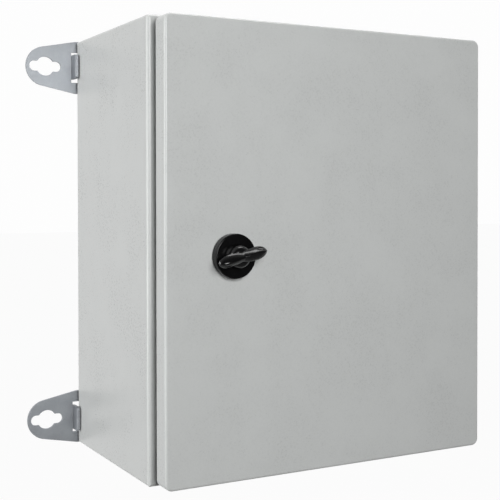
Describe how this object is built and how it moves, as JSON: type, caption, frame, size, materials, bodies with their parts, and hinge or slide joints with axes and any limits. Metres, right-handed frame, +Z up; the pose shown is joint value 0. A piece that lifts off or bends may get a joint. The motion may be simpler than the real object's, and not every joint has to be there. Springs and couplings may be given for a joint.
{
  "type": "wall enclosure",
  "caption": "Wall-mounted sheet steel enclosure with a right-hung door, a black wing-knob cam lock, a mounting plate, a gland plate and zinc-plated wall brackets.",
  "frame": {"origin": "centre of the rectangle of the wall-fixing slots, on the plane of the wall that the brackets lie against", "axes": "+Z up, +Y into the wall, so the door faces -Y, and +X to the right of somebody who looks at the door, on its hinged side"},
  "size_m": [0.329, 0.182, 0.3065],
  "materials": {
    "body_paint": "light grey textured powder coat",
    "door_paint": "light grey textured powder coat",
    "bracket_zinc": "blue zinc plate, satin",
    "plate_zinc": "galvanised sheet",
    "steel_zinc": "bright zinc plate",
    "hinge_zinc": "zinc plate, satin",
    "cam_zinc": "zinc plate, satin",
    "brass": "plain brass",
    "black_rubber": "matt black rubber",
    "foam_gasket": "foamed polyurethane, closed skin",
    "lock_black": "glossy black polyamide",
    "knob_black": "glossy black polyamide"
  },
  "bodies": {
    "enclosure": {"body_shell": "body_paint", "mounting_plate": "plate_zinc", "plate_studs": "steel_zinc", "plate_washers": "steel_zinc", "plate_nuts": "steel_zinc", "gland_plate": "body_paint", "gland_gasket": "black_rubber", "gland_screws": "steel_zinc", "gland_nuts": "steel_zinc", "bracket_top_left": "bracket_zinc", "bracket_top_right": "bracket_zinc", "bracket_bottom_left": "bracket_zinc", "bracket_bottom_right": "bracket_zinc", "bracket_bolts": "steel_zinc", "bracket_seals": "black_rubber", "body_earth_stud": "steel_zinc", "body_earth_nut": "brass", "hinge_body_leaf_upper": "hinge_zinc", "hinge_body_leaf_lower": "hinge_zinc", "hinge_pin_upper": "steel_zinc", "hinge_pin_lower": "steel_zinc", "hinge_screws": "steel_zinc"},
    "door": {"hinge_door_leaf_upper": "hinge_zinc", "hinge_door_leaf_lower": "hinge_zinc", "door_pan": "door_paint", "door_gasket": "foam_gasket", "door_earth_stud": "steel_zinc", "door_earth_nut": "brass", "lock_housing": "lock_black", "lock_seal": "black_rubber", "lock_nut": "steel_zinc"},
    "knob": {"wing_knob": "knob_black", "lock_cam": "cam_zinc", "cam_washer": "steel_zinc", "cam_screw": "steel_zinc"}
  },
  "joints": [
    {"name": "door_hinge", "type": "hinge", "parent": "enclosure", "child": "door", "pos_m": [0.12, -0.1485, 0], "axis": [0, 0, 1], "range_deg": [0, 110]},
    {"name": "lock_turn", "type": "hinge", "parent": "door", "child": "knob", "pos_m": [-0.0786, -0.1625, -0.003], "axis": [0, 1, 0], "range_deg": [0, 90]}
  ]
}
